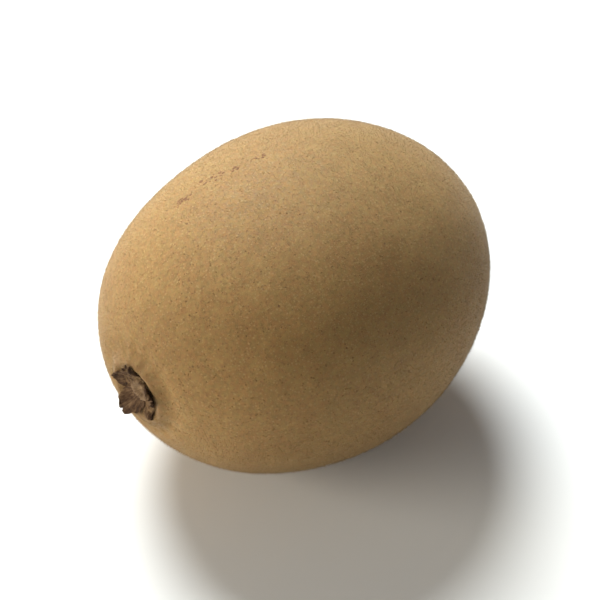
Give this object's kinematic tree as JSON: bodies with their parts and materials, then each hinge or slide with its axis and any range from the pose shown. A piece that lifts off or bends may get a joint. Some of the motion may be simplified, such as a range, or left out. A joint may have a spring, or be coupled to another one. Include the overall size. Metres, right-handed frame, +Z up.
{
  "type": "golden kiwi fruit",
  "caption": "Whole golden kiwi fruit on its side: bronze skin with fine short down, dried sepals round a stalk scar at one end, dried styles at the other.",
  "frame": {"origin": "centre of the small flat spot that the fruit rests on", "axes": "+X along the fruit, from the stalk scar to the end with the dried styles; +Z up from the resting spot"},
  "size_m": [0.0735, 0.0565, 0.0525],
  "materials": {
    "skin": "matte golden-brown skin, finely speckled, with short soft down",
    "dried_calyx": "dry, dull dark brown, cracked and fibrous"
  },
  "bodies": {
    "root": {"golden_kiwi_fruit": "skin"}
  },
  "joints": []
}
